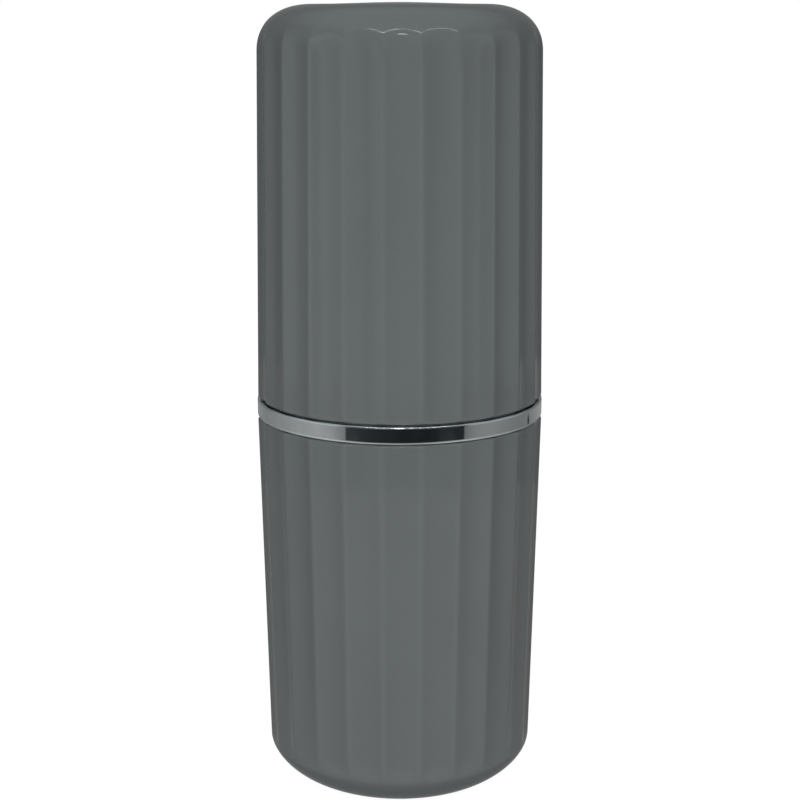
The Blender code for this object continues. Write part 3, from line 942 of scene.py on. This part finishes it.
AMBIENT = 0.42
world = bpy.data.worlds.new("white_studio")
world.use_nodes = True
bpy.context.scene.world = world
background = world.node_tree.nodes["Background"]
background.inputs["Color"].default_value = (1, 1, 1, 1)
strength = ramp(world.node_tree, seen_directly(world.node_tree), AMBIENT, 1, 0, 1)
world.node_tree.links.new(strength, background.inputs["Strength"])
print(f"ambient light {AMBIENT}")

# %% The floor
FLOOR_SIDE = 60
floor_points = np.array([(-1, -1, 0), (1, -1, 0), (1, 1, 0), (-1, 1, 0)]) * FLOOR_SIDE / 2
floor = mesh_object("pale_floor", floor_points, np.array([[0, 1, 2, 3]]), np.zeros((0, 3), int))
FLOOR_GLOW = 0.93
FLOOR_TONE = 0.20
floor_finish = bpy.data.materials.new("pale_floor")
floor_finish.use_nodes = True
tree = floor_finish.node_tree
tree.nodes.remove(tree.nodes["Principled BSDF"])
matt = add_node(tree, "ShaderNodeBsdfDiffuse", values={"Color": (FLOOR_TONE,) * 3 + (1,)})
glow_strength = ramp(tree, seen_directly(tree), 0, FLOOR_GLOW, 0, 1)
glow = add_node(tree, "ShaderNodeEmission", {"Strength": glow_strength})
both = add_node(tree, "ShaderNodeAddShader", {0: matt.outputs[0], 1: glow.outputs[0]})
tree.links.new(both.outputs[0], tree.nodes["Material Output"].inputs["Surface"])
floor.data.materials.append(floor_finish)
print(f"floor {FLOOR_SIDE} m wide")

# %% [markdown]
# ### The key lamp
#
# A broad soft lamp in front of the holder lights the matt part of each finish, and shades the
# flutes and the foot. It makes no glint of its own: what the gloss mirrors is set apart from it,
# below, so that one can be changed without the other.

# %% Aiming a lamp, and the key lamp
def aim(made, azimuth, elevation, distance, height):
    """Places a lamp round the axis, which it then faces. The azimuth is 0 at the front."""
    a, e = radians(azimuth), radians(elevation)
    x, y = distance * cos(e) * sin(a), -distance * cos(e) * cos(a)
    made.location = (x, y, height + distance * sin(e))
    made.rotation_euler = (pi / 2 - e, 0, a)


def lamp(name, azimuth, elevation, distance, size, power, height):
    """A rectangular lamp that lights the matt part of a finish and leaves no glint on gloss."""
    light = bpy.data.lights.new(name, "AREA")
    light.shape = "RECTANGLE"
    light.size, light.size_y = size
    light.energy = power
    made = bpy.data.objects.new(name, light)
    bpy.context.scene.collection.objects.link(made)
    aim(made, azimuth, elevation, distance, height)
    made.visible_camera = made.visible_glossy = False
    print(f"{name}: {size[0]} x {size[1]} m, {power} W")


lamp("key_lamp", azimuth=-2, elevation=17, distance=1.6, size=(1.4, 1.0), power=25.3, height=0.11)

# %% [markdown]
# ### The glint on the ring
#
# The ring's top rounding flashes white at one point. A small round lamp in front of the ring and
# above it makes that flash. Its light leaves it as from the end of a tube, in a beam of only 10
# degrees, so that the lid's shoulder, which would mirror it too, stays outside.

# %% The glint lamp
def narrow_lamp(name, azimuth, elevation, distance, radius, beam, power, height):
    """A round lamp in a tube, seen only in mirrors and only from the spot that its beam reaches."""
    light = bpy.data.lights.new(name, "SPOT")
    light.energy, light.shadow_soft_size = power, radius
    light.spot_size, light.spot_blend = beam, 0.3
    made = bpy.data.objects.new(name, light)
    bpy.context.scene.collection.objects.link(made)
    aim(made, azimuth, elevation, distance, height)
    made.visible_camera = made.visible_diffuse = made.visible_transmission = False
    print(f"{name}: {2000 * radius:.0f} mm wide, {power} W")


narrow_lamp(
    "ring_glint",
    azimuth=-1.2,
    elevation=35,
    distance=0.3,
    radius=0.028,
    beam=radians(10),
    power=0.45,
    height=RING_TOP,
)

# %% [markdown]
# ### What gloss and plating mirror
#
# Gloss shows little of itself and much of the room. In a photographer's studio, cards are set up
# only to be mirrored, and that is done here too. They are seen by no other ray, so they give no
# light. A card is a strip turned part of the way round the axis. Its tone changes along the way: a
# colour ramp reads the azimuth, which is 0 at the front and counts to the right.

# %% The light of a card
def card_light(name, stops, strength, lift, tint):
    """Emission whose tone follows the azimuth. stops are pairs of degrees and tone.

    lift is (low, high, tone): from one height to another that much tone is added. tint is the
    colour that the tone is multiplied with.
    """
    finish = bpy.data.materials.new(name)
    finish.use_nodes = True
    tree = finish.node_tree
    tree.nodes.remove(tree.nodes["Principled BSDF"])
    place = add_node(tree, "ShaderNodeTexCoord").outputs["Object"]
    split = add_node(tree, "ShaderNodeSeparateXYZ", {0: place}).outputs
    ahead = add_node(tree, "ShaderNodeMath", {0: split[1]}, {1: -1}, operation="MULTIPLY")
    turn = add_node(tree, "ShaderNodeMath", {0: split[0], 1: ahead.outputs[0]}, operation="ARCTAN2")
    along = ramp(tree, turn.outputs[0], 0, 1, -pi, pi)
    tones = add_node(tree, "ShaderNodeValToRGB", {0: along})
    band = tones.color_ramp
    while len(band.elements) < len(stops):
        band.elements.new(0.5)
    for element, (degrees, tone) in zip(band.elements, stops):
        element.position = (degrees + 180) / 360
        element.color = (tone, tone, tone, 1)
    raised = ramp(tree, split[2], 0, lift[2], lift[0], lift[1])
    tone = add_node(tree, "ShaderNodeMath", {0: tones.outputs["Color"], 1: raised}).outputs[0]
    colour = add_node(tree, "ShaderNodeVectorMath", {0: tone}, {1: tint}, operation="MULTIPLY")
    links = {"Color": colour.outputs[0]}
    shine = add_node(tree, "ShaderNodeEmission", links, {"Strength": strength})
    tree.links.new(shine.outputs[0], tree.nodes["Material Output"].inputs["Surface"])
    return finish


# %% The shape of a card
CARD_STEP = 3


def card(name, start, end, strip, stops, strength=1.0, lift=(0, 1, 0), tint=(1, 1, 1)):
    """Turns a strip of (radius, height) from one azimuth to another, seen only in mirrors."""
    strip = np.atleast_2d(strip)
    steps = max(2, int(abs(end - start) / CARD_STEP))
    azimuth = np.radians(np.linspace(start, end, steps + 1))
    spread = strip[:, :1]
    height = np.broadcast_to(strip[:, 1:], (len(strip), steps + 1))
    grid = np.stack([spread * np.sin(azimuth), -spread * np.cos(azimuth), height], axis=2)
    index = np.arange(grid[..., 0].size).reshape(grid.shape[:2])
    low, high = index[:-1], index[1:]
    quads = np.stack([low[:, :-1], low[:, 1:], high[:, 1:], high[:, :-1]], axis=2)
    made = mesh_object(name, grid.reshape(-1, 3), quads.reshape(-1, 4), np.zeros((0, 3), int))
    made.data.materials.append(card_light(name, stops, strength, lift, tint))
    made.visible_camera = made.visible_diffuse = made.visible_shadow = False
    made.visible_transmission = False
    print(f"{name}: {start} to {end} degrees")


SHOULDER_HEIGHT = 0.19


def sky(distance, low, high, steps=1):
    """A strip of a sphere round the lid's shoulder, from one elevation in degrees to another."""
    turn = np.radians(np.linspace(low, high, steps + 1))
    across, up = distance * np.cos(turn), distance * np.sin(turn)
    return np.stack([across, SHOULDER_HEIGHT + up], axis=1)


# %% [markdown]
# ### The room
#
# Far away stands the dark room, a dome with a ceiling that grows paler from 2.3 m to 3.6 m above
# the table. Near the holder stands a wall, whose middle is dark like a window, and below it a
# skirt, which the lower part of the tumbler mirrors. The table card lies on the floor, pale but
# for the shade right under the foot. The tones were chosen card by card, until each flute
# showed the same stripes as the photograph.

# %% The room's cards
ROOM_TINT = (0.92, 1.0, 1.04)
ROOM_FAR = 4.0
ROOM_LOW, CEILING_EDGE, ZENITH = -2.5, 29, 89.9
BAND_FAR = 0.3
BAND_FOOT = 0.028
BAND_TOP = 0.06
WALL_TOP = 0.2
SHADE_FAR = 0.045
OVER_FLOOR = 0.0001
CEILING = (2.3, 3.6, 0.32)
ABOVE = [(-180, 0.20), (-100, 0.16), (-60, 0.10), (60, 0.10), (100, 0.16), (180, 0.20)]
ROOM = [
    *[(-180, 0.20), (-150, 0.18), (-120, 0.17), (-108, 0.27), (-90, 0.32), (-82, 0.47)],
    *[(-58, 0.48), (-53, 0.55), (-48, 0.42), (-44, 0.22), (-36, 0.07), (-28, 0.11)],
    *[(-14, 0.15), (0, 0.09), (49, 0.06), (54, 0.37)],
    *[(80, 0.37), (98, 0.31), (112, 0.20), (125, 0.15), (150, 0.18), (180, 0.20)],
]
SKIRT = [
    *[(-180, 0.20), (-110, 0.25), (-85, 0.40), (-55, 0.43), (-42, 0.28), (-25, 0.08), (0, 0.05)],
    *[(20, 0.08), (38, 0.24), (52, 0.33), (85, 0.30), (100, 0.25), (115, 0.17), (180, 0.20)],
]
TABLE = [
    *[(-180, 0.20), (-110, 0.29), (-60, 0.48), (-10, 0.40), (10, 0.35), (45, 0.47)],
    *[(80, 0.38), (110, 0.27), (180, 0.20)],
]


def even(tone):
    """One tone all the way round."""
    return [(0, tone), (10, tone)]


ceiling = sky(ROOM_FAR, CEILING_EDGE, ZENITH, 16)
dome = sky(ROOM_FAR, ROOM_LOW, CEILING_EDGE, 8)
wall_strip = [(BAND_FAR, BAND_TOP), (BAND_FAR, WALL_TOP)]
skirt_strip = [(BAND_FAR, 0), (BAND_FAR, BAND_FOOT)]
table_strip = [(SHADE_FAR, OVER_FLOOR), (BAND_FAR, OVER_FLOOR)]
shade_strip = [(OVER_FLOOR, OVER_FLOOR), (SHADE_FAR, OVER_FLOOR)]
card("room_ceiling", -180, 180, ceiling, ABOVE, lift=CEILING, tint=ROOM_TINT)
card("room_dome", -180, 180, dome, ROOM, tint=ROOM_TINT)
card("room_wall", -180, 180, wall_strip, ROOM, tint=ROOM_TINT)
card("room_skirt", -180, 180, skirt_strip, SKIRT, tint=ROOM_TINT)
card("room_table", -180, 180, table_strip, TABLE)
card("foot_shade", -180, 180, shade_strip, even(0.28), tint=ROOM_TINT)

# %% [markdown]
# ### What the ring mirrors
#
# The ring stands upright, so seen from a little above it mirrors one low band of the room. In
# front that band is a dark window, with a paler stripe towards its right edge, and at both sides
# it is grey. A narrow dark post at the right makes the fine tick near the ring's right end.

# %% The low band
WINDOW = (-41.5, 48.4)
WINDOW_TINT = (0.86, 1.0, 1.12)
WINDOW_TONES = [
    *[(-34, 0.033), (-30, 0.025), (0, 0.0145), (20, 0.0115)],
    *[(26, 0.0145), (31, 0.024), (39, 0.025), (43, 0.014)],
]
SIDES = [
    *[(-165, 0.27), (-130, 0.21), (-105, 0.25), (-66, 0.33), (-54, 0.29), (-42, 0.19)],
    *[(49, 0.15), (58, 0.21), (70, 0.23), (93, 0.19), (112, 0.17), (135, 0.25), (165, 0.32)],
]
POST = (117.5, 120.5)
POST_FAR, POST_FOOT, POST_TOP = 0.295, 0.033, 0.038

low_band = [(BAND_FAR, BAND_FOOT), (BAND_FAR, BAND_TOP)]
post_strip = [(POST_FAR, POST_FOOT), (POST_FAR, POST_TOP)]
card("dark_post", *POST, post_strip, even(0))
card("left_band", -180, WINDOW[0], low_band, SIDES)
card("right_band", WINDOW[1], 180, low_band, SIDES)
card("window_band", *WINDOW, low_band, WINDOW_TONES, tint=WINDOW_TINT)

# %% [markdown]
# ### The line and the spot on the lid
#
# A thin bright line winds over the front of the lid's shoulder, and a small spot lies below it.
# The line is the image of a long tube overhead, which the flutes bend into waves, and the spot is
# that of a short lamp further down. Both are bright, narrow strips of the same sphere.

# %% The tube and the spot
GLINT_FAR = 1.2
card("tube", -36, 50, sky(GLINT_FAR, 47.9, 48.7), [(12, 1.4), (35, 0.85)], strength=13)
card("spot", -0.8, 2.1, sky(GLINT_FAR, 28.2, 31.2), even(1), strength=9)
print("studio: one key lamp, one glint lamp and twelve cards")

# %% A box as plain lists
def plain(box):
    """A box as two plain lists."""
    return [list(map(float, corner)) for corner in box]
